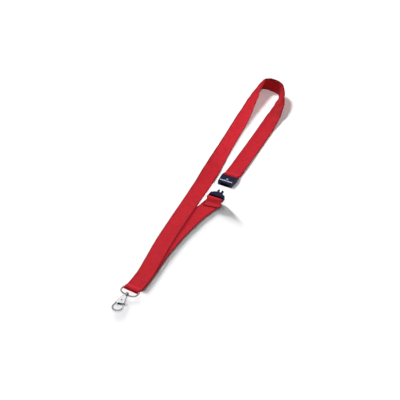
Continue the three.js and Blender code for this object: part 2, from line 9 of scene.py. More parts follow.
import bmesh
import bpy
import numpy as np
from mathutils import Matrix, Vector, noise
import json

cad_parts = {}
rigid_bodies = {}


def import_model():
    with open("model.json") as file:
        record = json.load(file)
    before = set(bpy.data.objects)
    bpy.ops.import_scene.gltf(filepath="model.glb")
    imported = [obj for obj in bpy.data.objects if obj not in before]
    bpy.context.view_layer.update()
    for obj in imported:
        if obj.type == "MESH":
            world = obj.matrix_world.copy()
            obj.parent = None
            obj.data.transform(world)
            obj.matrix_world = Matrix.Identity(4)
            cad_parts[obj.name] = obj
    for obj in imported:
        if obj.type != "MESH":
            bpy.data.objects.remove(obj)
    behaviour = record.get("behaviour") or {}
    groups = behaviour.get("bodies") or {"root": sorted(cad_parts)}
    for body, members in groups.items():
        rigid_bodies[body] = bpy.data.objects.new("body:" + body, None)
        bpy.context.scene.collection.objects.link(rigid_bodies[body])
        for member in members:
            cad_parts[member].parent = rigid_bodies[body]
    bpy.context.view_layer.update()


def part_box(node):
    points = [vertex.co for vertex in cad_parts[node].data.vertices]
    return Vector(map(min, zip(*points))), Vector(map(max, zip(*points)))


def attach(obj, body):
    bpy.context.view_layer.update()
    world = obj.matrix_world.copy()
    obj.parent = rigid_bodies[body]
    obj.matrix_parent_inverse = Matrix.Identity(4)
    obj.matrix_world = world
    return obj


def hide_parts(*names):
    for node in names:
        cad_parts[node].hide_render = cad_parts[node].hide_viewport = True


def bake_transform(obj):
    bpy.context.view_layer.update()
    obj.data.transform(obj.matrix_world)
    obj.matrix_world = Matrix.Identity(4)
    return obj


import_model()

MM = 0.001

# Strap, in millimetres.
STRAP_WIDTH = 20
STRAP_THICKNESS = 0.9
STRAP_GAP = 0.25
NARROWED_WIDTH = 18.2
AXIS_HEIGHT = 2.8
FEMALE_CENTRE = (15.9, 30)
MALE_CENTRE = (17.4, 30)
RELEASE_HEADING = math.radians(2)
BAR_RADIUS = 1.1
FEMALE_BAR_Y = 22.2
MALE_BAR_Y = -23.7
HOOK_X = -4.6
LOOP_BAR_Y = -171.5
LOOP_TILT = math.radians(7)
HUB_CENTRE_Y = -10.4
RING_LEAD = 8
MALE_TAIL = 13
FEMALE_TAIL = 16.5
FEMALE_LEAD = 24
TAIL_SKEW = math.radians(9)
RUN_SKEW = math.radians(10.5)
UPPER_DROP = 2.85
LOWER_DROP = 0.35
DROP_START = 1
DROP_END = 8
FOLD_SETTLE = 3
FOLD_WIDENED = 8
FOLD_STEP = 0.5
TURN_STEPS = 24
ROUTE_STEPS = 40
PIN_Y = -21.3

# The strap's routes, point by point: x, y, bank in degrees, height of the lowest edge.
NECK_ROUTE = [
    (-2.31, -163.25, 0, 1.3), (-2.05, -160.7, 0, 1.3), (-1.7, -155.5, 0, 1.3), (-1.5, -150, 0, 1.3),
    (-1.2, -141, 0, 1.4), (-2.4, -125, 0, 1.4), (-5.6, -85, 0, 1.5), (-6.9, -45, 0, 1.7), (-7.6, -10, 0, 1.6),
    (-7.8, 20, 7, 0.9), (-8.1, 50, 25, 0.4), (-8.5, 72, 43, 0.2), (-9.2, 88, 52, 0.1), (-10.4, 109, 56, 0),
    (-12.3, 143, 57, 0), (-13.4, 165, 64, 0), (-14.8, 180, 70, 0), (-15.8, 192, 78, 0), (-17, 212, 90, 0),
    (-17.9, 225, 102, 0), (-17.2, 230.4, 105, 0), (-13.6, 232.4, 99, 0), (-6, 233.2, 88, 0),
    (4.5, 230.5, 85, 0), (10, 224.3, 74, 0), (14, 210, 52, 0), (16.8, 195, 30, 0.1), (17.5, 178, 12, 0.2),
    (17.8, 155, 2, 0.2), (17.8, 120, 0, 0.5), (17.65, 92, 0, 1.3), (17.52, 76.47, 0, 1.3),
]
RELEASE_ROUTE = [
    (-2.31, -163.25, 0, 0.2), (-2.05, -160.7, 0, 0.2), (-1.6, -153, 0, 0.2), (-1.2, -138, 0, 0.2),
    (-1.4, -115, 0, 0.2), (-1.1, -98, 0, 0.2), (0.3, -81, 0, 0.2), (2.2, -63, 0, 0.2), (5.2, -44, 0, 0.2),
    (8.9, -25, 0, 0.2), (13.1, -11.4, 0, 0.2), (15.17, -1.94, 0, 0.2),
]
LOOP_TOP = 22  # the station of NECK_ROUTE where the loop's two sides meet

# Where the drawing's origin lies in the row frame.
pin_low, pin_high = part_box("trigger_pin")
SHIFT = (pin_low + pin_high) / 2 - Vector((HOOK_X, LOOP_BAR_Y + PIN_Y, AXIS_HEIGHT)) * MM


def placed(points):
    """Points of the drawing, in millimetres, as points of the row frame."""
    return np.asarray(points, float) * MM + np.array(SHIFT)


# Camera.
CAMERA_AZIMUTH = math.radians(25)
CAMERA_ELEVATION = math.radians(41)
CAMERA_DISTANCE = 1.775
CAMERA_LENS = 135
SENSOR = 36


def make_camera():
    data = bpy.data.cameras.new("camera")
    data.lens = CAMERA_LENS
    data.sensor_width = SENSOR
    camera = bpy.data.objects.new("camera", data)
    bpy.context.scene.collection.objects.link(camera)
    back = Vector((
        math.sin(CAMERA_AZIMUTH) * math.cos(CAMERA_ELEVATION),
        -math.cos(CAMERA_AZIMUTH) * math.cos(CAMERA_ELEVATION),
        math.sin(CAMERA_ELEVATION),
    ))
    camera.location = Vector((SHIFT.x, SHIFT.y, 0)) + back * CAMERA_DISTANCE
    camera.rotation_mode = "QUATERNION"
    camera.rotation_quaternion = back.to_track_quat("Z", "Y")
    bpy.context.scene.camera = camera


make_camera()


# Meshes.
def linked(name, mesh, material):
    piece = bpy.data.objects.new(name, mesh)
    bpy.context.scene.collection.objects.link(piece)
    mesh.materials.clear()
    mesh.materials.append(material)
    return piece


def shaded(mesh, angle):
    """Smooth shading, split at edges sharper than the angle."""
    mesh.polygons.foreach_set("use_smooth", [True] * len(mesh.polygons))
    mesh.set_sharp_from_angle(angle=math.radians(angle))
    mesh.update()
    return mesh


def mesh_of(name, points, faces):
    mesh = bpy.data.meshes.new(name)
    mesh.from_pydata([tuple(p) for p in points], [], [tuple(f) for f in faces])
    mesh.validate()
    return mesh


def smoothstep(x, low, high):
    t = np.clip((x - low) / (high - low), 0, 1)
    return t * t * (3 - 2 * t)


# The strap's line. A run is a list of sections: centre, direction across, width.
def route_run(route):
    """The sections of a route: a centripetal Catmull-Rom curve in plan, eased bank and height between stations."""
    plan = np.array([p[:2] for p in route], float)
    plan = np.vstack([2 * plan[0] - plan[1], plan, 2 * plan[-1] - plan[-2]])
    points, banks, lows = [], [], []
    for i in range(len(route) - 1):
        a, b, c, d = plan[i:i + 4]
        ta, tb, tc = (math.sqrt(np.linalg.norm(q - p)) for p, q in ((a, b), (b, c), (c, d)))
        t1, t2, t3 = ta, ta + tb, ta + tb + tc
        last = i == len(route) - 2
        for k in range(ROUTE_STEPS + 1 if last else ROUTE_STEPS):
            share = k / ROUTE_STEPS
            t = t1 + share * tb
            ab = (t1 - t) / t1 * a + t / t1 * b
            bc = (t2 - t) / tb * b + (t - t1) / tb * c
            cd = (t3 - t) / tc * c + (t - t2) / tc * d
            abc = (t2 - t) / t2 * ab + t / t2 * bc
            bcd = (t3 - t) / (t3 - t1) * bc + (t - t1) / (t3 - t1) * cd
            points.append((t2 - t) / tb * abc + (t - t1) / tb * bcd)
            eased = share * share * (3 - 2 * share)
            banks.append(math.radians(route[i][2] + (route[i + 1][2] - route[i][2]) * eased))
            lows.append(route[i][3] + (route[i + 1][3] - route[i][3]) * eased)
    points, banks, lows = np.array(points), np.array(banks), np.array(lows)
    heading = np.gradient(points, axis=0)
    heading /= np.linalg.norm(heading, axis=1)[:, None]
    height = lows + STRAP_WIDTH / 2 * np.sin(banks) + STRAP_THICKNESS / 2 * np.abs(np.cos(banks))
    centre = np.column_stack([points, height])
    flat = np.cos(banks)[:, None] * np.column_stack([-heading[:, 1], heading[:, 0]])
    across = np.column_stack([flat, np.sin(banks)])
    return centre, across, np.full(len(centre), float(STRAP_WIDTH))


def fold_run(bar, heading, upper_lead, lower_lead, upper_skew=0.0, lower_skew=0.0):
    """The sections of a fold round a bar: upper lead, half turn, lower lead.

    The heading points from the leads to the bar.
    """
    direction = np.array([math.sin(heading), math.cos(heading), 0])
    side = np.array([math.cos(heading), -math.sin(heading), 0])
    radius = BAR_RADIUS + STRAP_GAP + STRAP_THICKNESS / 2
    origin = np.array([bar[0], bar[1], AXIS_HEIGHT])
    up = np.array([0, 0, 1.0])
    sections = []

    def lead(distance, skew, height, drop):
        offset = skew * distance * distance / (distance + FOLD_SETTLE)
        slope = skew * distance * (distance + 2 * FOLD_SETTLE) / (distance + FOLD_SETTLE) ** 2
        share = float(smoothstep(distance, FOLD_SETTLE, FOLD_WIDENED))
        across = side + direction * slope
        fall = drop * float(smoothstep(distance, DROP_START, DROP_END))
        centre = origin - direction * distance + side * offset + up * (height - fall)
        width = NARROWED_WIDTH + (STRAP_WIDTH - NARROWED_WIDTH) * share
        sections.append((centre, across / np.linalg.norm(across), width))

    for distance in np.arange(upper_lead, 0, -FOLD_STEP):
        lead(distance, upper_skew, radius, UPPER_DROP)
    for i in range(TURN_STEPS + 1):
        angle = math.pi * (0.5 - i / TURN_STEPS)
        centre = origin + direction * radius * math.cos(angle) + up * radius * math.sin(angle)
        sections.append((centre, side, NARROWED_WIDTH))
    for distance in np.arange(FOLD_STEP, lower_lead + FOLD_STEP / 2, FOLD_STEP):
        lead(distance, lower_skew, -radius, LOWER_DROP)
    centre, across, width = zip(*sections)
    return np.array(centre), np.array(across), np.array(width, float)


def part_of(run, start, end):
    return tuple(values[start:end] for values in run)


def backwards(run):
    return tuple(values[::-1] for values in run)


SAME_PLACE = 1e-6


def joined(*runs):
    """Runs end to end, with their directions across made to agree."""
    centre, across, width = (list(v) for v in runs[0])
    for more_centre, more_across, more_width in runs[1:]:
        sign = 1 if np.dot(across[-1], more_across[0]) > 0 else -1
        start = 1 if np.linalg.norm(more_centre[0] - centre[-1]) < SAME_PLACE else 0
        centre += list(more_centre[start:])
        across += list(more_across[start:] * sign)
        width += list(more_width[start:])
    return np.array(centre), np.array(across), np.array(width)


def on_release(centre, across, along):
    """A point of one half of the release, in the drawing's frame."""
    sine, cosine = math.sin(RELEASE_HEADING), math.cos(RELEASE_HEADING)
    return centre[0] + across * cosine + along * sine, centre[1] + along * cosine - across * sine


# Webbing. Rows run across the strap every ROW_STEP, and its two faces meet at rounded selvedges.
ROW_STEP = 0.5
COLUMNS = 40
SELVEDGE_STEPS = 5
SELVEDGE = 0.9
RIB_PITCH = 2.0
RIB_SLANT = 1.15
RIB_HEIGHT = 0.045
RELIEF_DEPTH = 0.05  # how far the faces are lowered to leave room for their relief
CLOTH_START = SELVEDGE * 0.4
CLOTH_FULL = SELVEDGE * 1.6
ROLL_PLACE = SELVEDGE * 0.55
ROLL_WIDTH = SELVEDGE * 0.35
ROLL_HEIGHT = 0.05
GROOVE_PLACE = SELVEDGE * 1.35
GROOVE_WIDTH = SELVEDGE * 0.3
GROOVE_DEPTH = 0.07
WAVER = 0.12
WAVER_LENGTH = 9
WEBBING_ANGLE = 50


def evened(run, step):
    """A run with sections a step apart, and the distance along it of each."""
    centre, across, width = run
    along = np.concatenate([[0], np.cumsum(np.linalg.norm(np.diff(centre, axis=0), axis=1))])
    at = np.linspace(0, along[-1], round(along[-1] / step) + 1)

    def resample(values):
        return np.column_stack([np.interp(at, along, v) for v in values.T])

    across = resample(across)
    across /= np.linalg.norm(across, axis=1)[:, None]
    return resample(centre), across, np.interp(at, along, width), at


def section_outline():
    """The strap's section from its top left, clockwise, as shares of the half width and of the half thickness."""
    half = STRAP_THICKNESS / 2
    shares = np.linspace(-1, 1, COLUMNS + 1)
    inner = 1 - 2 * half / STRAP_WIDTH
    top = [(s * inner, 1.0) for s in shares]
    turn = [math.pi / 2 * (1 - 2 * (i + 1) / (SELVEDGE_STEPS + 1)) for i in range(SELVEDGE_STEPS)]
    right = [(inner + math.cos(a) * (1 - inner), math.sin(a)) for a in turn]
    bottom = [(-x, -y) for x, y in top]
    left = [(-x, -y) for x, y in right]
    return np.array(top + right + bottom + left)


def rib(along, across, side):
    """Height of the slanting twill ribs, from -1 to 1."""
    return np.sin(2 * math.pi * (along + side * RIB_SLANT * across) / RIB_PITCH)


def bump_at(from_edge, place, width):
    """A smooth bump of height 1 at a distance from the strap's edge."""
    return np.exp(-((from_edge - place) / width) ** 2)


def webbing(name, run, material, start=0.0):
    """A length of woven strap along a run. Returns its object, its centre line and the distance at its end."""
    centre, across, width, at = evened(run, ROW_STEP)
    tangent = np.gradient(centre, axis=0)
    normal = np.cross(tangent, across)
    normal /= np.linalg.norm(normal, axis=1)[:, None]
    outline = section_outline()
    share, level = outline[:, 0], outline[:, 1]
    along = at + start
    waver = np.array([[noise.noise(Vector((a / WAVER_LENGTH, s, 0.7))) for s in (0.0, 5.0)] for a in along]) * WAVER
    x = share[None, :] * width[:, None] / 2
    x += np.where(share[None, :] > 0, waver[:, :1], waver[:, 1:]) * np.abs(share[None, :]) ** 3
    from_edge = (1 - np.abs(share[None, :])) * width[:, None] / 2
    body = smoothstep(from_edge, CLOTH_START, CLOTH_FULL)
    roll = ROLL_HEIGHT * bump_at(from_edge, ROLL_PLACE, ROLL_WIDTH)
    groove = GROOVE_DEPTH * bump_at(from_edge, GROOVE_PLACE, GROOVE_WIDTH)
    side = np.sign(level)[None, :]
    relief = body * RIB_HEIGHT * rib(along[:, None], x, side) + roll - groove
    on_face = np.abs(level[None, :]) > 0.99
    z = level[None, :] * (STRAP_THICKNESS / 2 - RELIEF_DEPTH) + side * relief * on_face
    points = centre[:, None] + across[:, None] * x[..., None] + normal[:, None] * z[..., None]
    rows, ring = points.shape[:2]
    faces = []
    for i in range(rows - 1):
        a, b = i * ring, (i + 1) * ring
        faces += [(a + j, a + (j + 1) % ring, b + (j + 1) % ring, b + j) for j in range(ring)]
    faces += [tuple(range(ring - 1, -1, -1)), tuple((rows - 1) * ring + j for j in range(ring))]
    mesh = mesh_of(name, placed(points.reshape(-1, 3)), faces)
    weave = mesh.uv_layers.new(name="weave")
    loops = np.zeros(len(mesh.loops), np.int32)
    mesh.loops.foreach_get("vertex_index", loops)
    signed = x * np.where(np.abs(level) > 0.01, np.sign(level), 1)[None, :]
    flat = np.stack([np.repeat(along[:, None], ring, 1), signed], axis=-1).reshape(-1, 2)
    weave.data.foreach_set("uv", flat[loops].astype(np.float32).ravel())
    shaded(mesh, WEBBING_ANGLE)
    bm = bmesh.new()
    bm.from_mesh(mesh)
    bmesh.ops.recalc_face_normals(bm, faces=bm.faces)
    bm.to_mesh(mesh)
    bm.free()
    return linked(name, mesh, material), placed(centre), along[-1]


# Materials. A small kit for node trees.
class Nodes:
    def __init__(self, name):
        self.material = bpy.data.materials.new(name)
        self.material.use_nodes = True
        self.tree = self.material.node_tree
        self.shader = self.tree.nodes["Principled BSDF"]

    def node(self, kind, inputs=None, **settings):
        made = self.tree.nodes.new("ShaderNode" + kind)
        for key, value in settings.items():
            setattr(made, key, value)
        for key, value in (inputs or {}).items():
            self.put(made.inputs[key], value)
        return made

    def put(self, socket, value):
        if isinstance(value, bpy.types.NodeSocket):
            self.tree.links.new(value, socket)
        else:
            socket.default_value = value

    def math(self, operation, *values):
        made = self.tree.nodes.new("ShaderNodeMath")
        made.operation = operation
        for socket, value in zip(made.inputs, values):
            self.put(socket, value)
        return made.outputs[0]

    def ramp(self, value, low, high, to_low=0.0, to_high=1.0):
        made = self.node("MapRange", {"Value": value, "From Min": low, "From Max": high,
                                      "To Min": to_low, "To Max": to_high})
        return made.outputs["Result"]

    def mix(self, share, a, b):
        made = self.tree.nodes.new("ShaderNodeMix")
        made.data_type = "RGBA"
        for key, value in (("Factor_Float", share), ("A_Color", a), ("B_Color", b)):
            self.put(next(s for s in made.inputs if s.identifier == key), value)
        return next(s for s in made.outputs if s.identifier == "Result_Color")

    def noise(self, vector, scale, detail=2.0, roughness=0.5):
        made = self.node("TexNoise", {"Vector": vector, "Scale": scale, "Detail": detail, "Roughness": roughness})
        return made.outputs["Fac"]

    def object_place(self):
        return self.node("TexCoord").outputs["Object"]

    def stretched(self, place, scale):
        return self.node("Mapping", {"Vector": place, "Scale": scale}).outputs["Vector"]

    def wave(self, distance, pitch):
        """A sine wave along a distance."""
        return self.math("SINE", self.math("MULTIPLY", distance, 2 * math.pi / pitch))

    def bump(self, height, strength, distance):
        made = self.node("Bump", {"Height": height, "Strength": strength, "Distance": distance})
        self.put(self.shader.inputs["Normal"], made.outputs["Normal"])

    def set(self, **values):
        for key, value in values.items():
            self.put(self.shader.inputs[key.replace("_", " ")], value)


def linear(*colour):
    """An sRGB colour of 0 to 255 as a linear one."""
    return (*(v / 255 / 12.92 if v <= 10 else ((v / 255 + 0.055) / 1.055) ** 2.4 for v in colour), 1)


YARN_PITCH_ACROSS = 0.55
YARN_PITCH_ALONG = 0.7
YARN_SLANT = -0.4
HEM_PITCH = 0.9
HEM_START = STRAP_WIDTH / 2 - 1.3
HEM_FULL = STRAP_WIDTH / 2 - 0.7


def webbing_material():
    n = Nodes("webbing")
    # The first pair of reds is painted shade for the weave's valleys and painted highlight for its crests.
    valley_shade_red, crest_highlight_red = linear(148, 18, 30), linear(220, 38, 52)
    cloud_red, mottled_red = linear(184, 26, 38), linear(140, 18, 30)
    # The hem colours are darker than the cloth, partly as painted shade along the strap's edges.
    dark_hem_and_edge_shade, light_hem_and_edge_shade = linear(88, 8, 18), linear(126, 16, 26)
    weave = n.node("UVMap", uv_map="weave").outputs["UV"]
    split = n.node("SeparateXYZ", {"Vector": weave})
    along, across = split.outputs["X"], split.outputs["Y"]
    rib_wave = n.wave(n.math("MULTIPLY_ADD", across, RIB_SLANT, along), RIB_PITCH)
    yarn_across = n.wave(across, YARN_PITCH_ACROSS)
    yarn_along = n.wave(n.math("MULTIPLY_ADD", across, YARN_SLANT, along), YARN_PITCH_ALONG)
    yarns = n.math("MULTIPLY", yarn_across, yarn_along)
    place = n.object_place()
    fuzz = n.noise(place, 5200.0, 3.0, 0.6)
    cloud = n.ramp(n.noise(place, 38.0, 3.0, 0.55), 0.3, 0.7)
    mottle = n.ramp(n.noise(place, 300.0), 0.4, 0.65, 0.0, 0.3)
    height = n.math("MULTIPLY_ADD", rib_wave, 0.5, n.math("MULTIPLY_ADD", yarns, 0.35, fuzz))
    # Painted shade and highlight: the weave's height picks the colour, so the rib valleys are painted darker and the
    # crests lighter.
    cloth = n.mix(n.ramp(height, -0.5, 1.4), valley_shade_red, crest_highlight_red)
    cloth = n.mix(cloud, cloth, n.mix(0.5, cloth, cloud_red))
    cloth = n.mix(mottle, cloth, mottled_red)
    # The selvedge is a hem of wrapped ribs, and its darkness is partly painted shade along the strap's edges.
    selvedge = n.ramp(n.math("ABSOLUTE", across), HEM_START, HEM_FULL)
    wrapped = n.wave(along, HEM_PITCH)
    hem_and_edge_shade = n.mix(n.ramp(wrapped, -1.0, 1.0), dark_hem_and_edge_shade, light_hem_and_edge_shade)
    n.set(Base_Color=n.mix(selvedge, cloth, hem_and_edge_shade), Roughness=n.ramp(height, -0.5, 1.5, 0.88, 0.62),
          Sheen_Weight=0.06, Sheen_Roughness=0.45, Sheen_Tint=(1.0, 0.4, 0.4, 1), Specular_IOR_Level=0.12)
    n.bump(n.math("MULTIPLY_ADD", selvedge, n.math("MULTIPLY", wrapped, 0.4), height), 0.55, 0.00012)
    return n.material


RED_WEBBING = webbing_material()

ring_bar = (HOOK_X - HUB_CENTRE_Y * math.sin(LOOP_TILT), LOOP_BAR_Y + HUB_CENTRE_Y * (1 - math.cos(LOOP_TILT)))
ring_fold = fold_run(ring_bar, math.pi + LOOP_TILT, RING_LEAD, RING_LEAD)
male_fold = fold_run(
    on_release(MALE_CENTRE, 0, MALE_BAR_Y), RELEASE_HEADING, MALE_TAIL, RING_LEAD, TAIL_SKEW, -RUN_SKEW)
female_fold = fold_run(
    on_release(FEMALE_CENTRE, 0, FEMALE_BAR_Y), RELEASE_HEADING + math.pi, FEMALE_LEAD, FEMALE_TAIL)
neck_run = route_run(NECK_ROUTE)
top = LOOP_TOP * ROUTE_STEPS

neck, neck_line, neck_end = webbing(
    "neck_webbing", joined(backwards(ring_fold), part_of(neck_run, None, top + 1)), RED_WEBBING)
side, side_line, _ = webbing(
    "release_side_webbing", joined(part_of(neck_run, top, None), female_fold), RED_WEBBING, neck_end)
release, release_line, _ = webbing(
    "release_webbing", joined(route_run(RELEASE_ROUTE), backwards(male_fold)), RED_WEBBING)


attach(neck, "strap")
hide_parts("neck_strap", "ring_fold")

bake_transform(side)
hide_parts("neck_strap", "neck_strap_end")

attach(release, "strap")
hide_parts("release_strap", "release_tail")

# Hard parts are built in millimetres in a frame of their own and then placed. The cutting solids are temporary.
ROUND = 64
MERGE = 2e-4
FINE_MERGE = 1e-5
HOOK_MERGE = 5e-4
RIM_STEPS = 4
BLOCK_RIM_STEPS = 3
HARD_ANGLE = 32
SOFTENED_ANGLE = math.radians(40)


def arc(x, y, radius, start, end, count):
    return [(x + radius * math.cos(a), y + radius * math.sin(a)) for a in np.linspace(start, end, count)]


def temporary(data):
    piece = bpy.data.objects.new("temporary", data)
    bpy.context.scene.collection.objects.link(piece)
    return piece


def evaluated(piece):
    """The mesh of a temporary object with its modifiers applied. The object goes."""
    bpy.context.view_layer.update()
    mesh = bpy.data.meshes.new_from_object(piece.evaluated_get(bpy.context.evaluated_depsgraph_get()))
    bpy.data.objects.remove(piece)
    return mesh


def cleaned(mesh, merge=MERGE):
    """The mesh with near vertices merged, its holes filled and its faces turned outward."""
    bm = bmesh.new()
    bm.from_mesh(mesh)
    bmesh.ops.remove_doubles(bm, verts=bm.verts, dist=merge)
    bmesh.ops.dissolve_degenerate(bm, edges=bm.edges, dist=merge)
    bmesh.ops.holes_fill(bm, edges=[edge for edge in bm.edges if edge.is_boundary], sides=0)
    bmesh.ops.recalc_face_normals(bm, faces=bm.faces)
    bm.to_mesh(mesh)
    bm.free()
    return mesh


def plate(outline, thickness, rim, holes=(), height=AXIS_HEIGHT):
    """A plate of an outline with rounded rims, centred on a height."""
    curve = bpy.data.curves.new("plate", "CURVE")
    curve.dimensions = "2D"
    curve.fill_mode = "BOTH"
    curve.extrude = thickness / 2 - rim
    curve.bevel_depth = rim
    curve.bevel_resolution = 3
    curve.offset = -rim
    for loop in (outline, *holes):
        spline = curve.splines.new("POLY")
        spline.points.add(len(loop) - 1)
        for point, (x, y) in zip(spline.points, loop):
            point.co = (x, y, 0, 1)
        spline.use_cyclic_u = True
    mesh = cleaned(evaluated(temporary(curve)))
    mesh.transform(Matrix.Translation((0, 0, height)))
    return mesh


def turned(profile, along="z", centre=(0, 0, 0)):
    """A solid of revolution of a profile of (radius, height) points whose ends lie on the axis."""
    points = [(0, 0, profile[0][1])]
    for radius, height in profile[1:-1]:
        points += [(x, y, height) for x, y in arc(0, 0, radius, 0, 2 * math.pi, ROUND + 1)[:-1]]
    points.append((0, 0, profile[-1][1]))
    rings = len(profile) - 2
    faces = [(0, 1 + (j + 1) % ROUND, 1 + j) for j in range(ROUND)]
    for i in range(rings - 1):
        a, b = 1 + i * ROUND, 1 + (i + 1) * ROUND
        faces += [(a + j, a + (j + 1) % ROUND, b + (j + 1) % ROUND, b + j) for j in range(ROUND)]
    last = 1 + (rings - 1) * ROUND
    faces += [(last + j, last + (j + 1) % ROUND, len(points) - 1) for j in range(ROUND)]
    mesh = mesh_of("turned", points, faces)
    if along == "y":
        mesh.transform(Matrix.Rotation(-math.pi / 2, 4, "X"))
    if along == "x":
        mesh.transform(Matrix.Rotation(math.pi / 2, 4, "Y"))
    mesh.transform(Matrix.Translation(centre))
    return cleaned(mesh)


def rounded_profile(radius, low, high, rim):
    """The profile of a cylinder with rounded rims."""
    turn = np.linspace(0, math.pi / 2, RIM_STEPS + 1)
    bottom = [(radius - rim + rim * math.sin(a), low + rim - rim * math.cos(a)) for a in turn]
    top = [(radius - rim + rim * math.cos(a), high - rim + rim * math.sin(a)) for a in turn]
    return [(0, low), *bottom, *top, (0, high)]


def rod(radius, low, high, along="z", centre=(0, 0, 0), rim=0.12):
    return turned(rounded_profile(radius, low, high, rim), along, centre)


def block(low, high, rim=0.0):
    """A box between two corners, with rounded edges."""
    low, high = np.array(low, float), np.array(high, float)
    bm = bmesh.new()
    bmesh.ops.create_cube(bm, size=1)
    bmesh.ops.scale(bm, vec=high - low, verts=bm.verts)
    bmesh.ops.translate(bm, vec=(high + low) / 2, verts=bm.verts)
    if rim:
        bmesh.ops.bevel(bm, geom=bm.edges, offset=rim, segments=BLOCK_RIM_STEPS, profile=0.5, affect="EDGES")
    mesh = bpy.data.meshes.new("block")
    bm.to_mesh(mesh)
    bm.free()
    return mesh


def swept(points, radius, sides, closed=False):
    """A round wire through points."""
    points = np.asarray(points, float)
    count = len(points)
    if closed:
        tangent = np.roll(points, -1, 0) - np.roll(points, 1, 0)
    else:
        tangent = np.gradient(points, axis=0)
    tangent /= np.linalg.norm(tangent, axis=1)[:, None]
    normal = np.cross(tangent[0], (0, 0, 1.0) if abs(tangent[0][2]) < 0.9 else (1.0, 0, 0))
    verts = []
    for t, p in zip(tangent, points):
        normal = normal - t * np.dot(normal, t)
        normal /= np.linalg.norm(normal)
        other = np.cross(t, normal)
        verts += [p + radius * (math.cos(a) * normal + math.sin(a) * other)
                  for a in np.linspace(0, 2 * math.pi, sides, endpoint=False)]
    faces = []
    for i in range(count if closed else count - 1):
        a, b = i * sides, (i + 1) % count * sides
        faces += [(a + j, a + (j + 1) % sides, b + (j + 1) % sides, b + j) for j in range(sides)]
    if not closed:
        faces += [tuple(range(sides)), tuple((count - 1) * sides + j for j in range(sides))]
    return cleaned(mesh_of("swept", verts, faces), FINE_MERGE)


def combined(base, *steps):
    """A mesh after unions (+), differences (-) and intersections (&) with other meshes, in order."""
    names = {"+": "UNION", "-": "DIFFERENCE", "&": "INTERSECT"}
    for sign, mesh in steps:
        piece, tool = temporary(base), temporary(mesh)
        modifier = piece.modifiers.new("combined", "BOOLEAN")
        modifier.operation = names[sign]
        modifier.solver = "EXACT"
        modifier.object = tool
        base = evaluated(piece)
        bpy.data.objects.remove(tool)
    return cleaned(base)


def merged(*meshes):
    """Separate bodies in one mesh."""
    bm = bmesh.new()
    for mesh in meshes:
        bm.from_mesh(mesh)
    whole = bpy.data.meshes.new("merged")
    bm.to_mesh(whole)
    bm.free()
    return whole


def softened(mesh, rim, merge=MERGE):
    """Narrow rounded edges where faces meet at more than SOFTENED_ANGLE."""
    piece = temporary(mesh)
    modifier = piece.modifiers.new("rim", "BEVEL")
    modifier.width = rim
    modifier.segments = 2
    modifier.limit_method = "ANGLE"
    modifier.angle_limit = SOFTENED_ANGLE
    return cleaned(evaluated(piece), merge)


def hard_piece(name, mesh, material, body, replaced, turn, origin, angle=HARD_ANGLE):
    """A hard part placed in the row frame, riding on its body in place of its CAD node."""
    matrix = (Matrix.Translation(SHIFT) @ Matrix.Scale(MM, 4)
              @ Matrix.Translation((origin[0], origin[1], 0)) @ Matrix.Rotation(turn, 4, "Z"))
    mesh.transform(matrix)
    mesh.name = name
    piece = linked(name, shaded(mesh, angle), material)
    flat = piece.modifiers.new("even shading", "WEIGHTED_NORMAL")
    flat.keep_sharp = True
    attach(piece, body)
    if replaced:
        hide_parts(*replaced)
    return piece


# Materials of the hard parts.
def plating_material():
    n = Nodes("plating")
    place = n.object_place()
    cloud = n.noise(place, 420.0, 3.0, 0.6)
    fine = n.noise(place, 5200.0, 2.0, 0.7)
    lines = n.ramp(n.noise(n.stretched(place, (1.0, 0.12, 1.0)), 6400.0, 4.0, 0.75), 0.6, 0.72)
    n.set(Base_Color=n.mix(cloud, linear(212, 213, 216), linear(238, 238, 240)), Metallic=1.0,
          Roughness=n.math("MULTIPLY_ADD", lines, 0.14, n.ramp(cloud, 0.3, 0.7, 0.1, 0.24)))
    n.bump(n.math("MULTIPLY_ADD", lines, -0.6, fine), 0.12, 0.00002)
    return n.material


def pin_material():
    n = Nodes("pin steel")
    cloud = n.noise(n.object_place(), 1500.0, 3.0, 0.6)
    n.set(Base_Color=n.mix(cloud, linear(34, 35, 38), linear(62, 63, 68)), Metallic=1.0,
          Roughness=n.ramp(cloud, 0.3, 0.7, 0.3, 0.5))
    n.bump(cloud, 0.2, 0.00003)
    return n.material


def spring_material():
    n = Nodes("spring steel")
    drawn = n.noise(n.stretched(n.object_place(), (1.0, 1.0, 6.0)), 3800.0, 3.0)
    n.set(Base_Color=n.mix(drawn, linear(120, 122, 126), linear(176, 177, 180)), Metallic=1.0,
          Roughness=n.ramp(drawn, 0.3, 0.7, 0.25, 0.45))
    n.bump(drawn, 0.25, 0.00002)
    return n.material


def moulding_material():
    n = Nodes("moulding")
    place = n.object_place()
    grain = n.noise(place, 2600.0, 3.0, 0.6)
    cloud = n.noise(place, 160.0)
    scuffs = n.ramp(n.noise(n.stretched(place, (0.3, 1.6, 1.0)), 2400.0, 5.0, 0.7), 0.66, 0.74)
    body = n.mix(cloud, linear(14, 17, 38), linear(24, 28, 56))
    n.set(Base_Color=n.mix(n.math("MULTIPLY", scuffs, 0.5), body, linear(84, 88, 104)),
          Roughness=n.math("MULTIPLY_ADD", scuffs, 0.2, n.ramp(grain, 0.3, 0.7, 0.34, 0.48)),
          Specular_IOR_Level=0.12)
    n.bump(grain, 0.35, 0.00004)
    return n.material


def ink_material():
    n = Nodes("pale ink")
    cloud = n.noise(n.object_place(), 1400.0, 3.0, 0.6)
    n.set(Base_Color=n.mix(cloud, linear(176, 184, 212), linear(226, 229, 240)),
          Roughness=n.ramp(cloud, 0.3, 0.7, 0.42, 0.6))
    n.bump(cloud, 0.2, 0.00002)
    return n.material


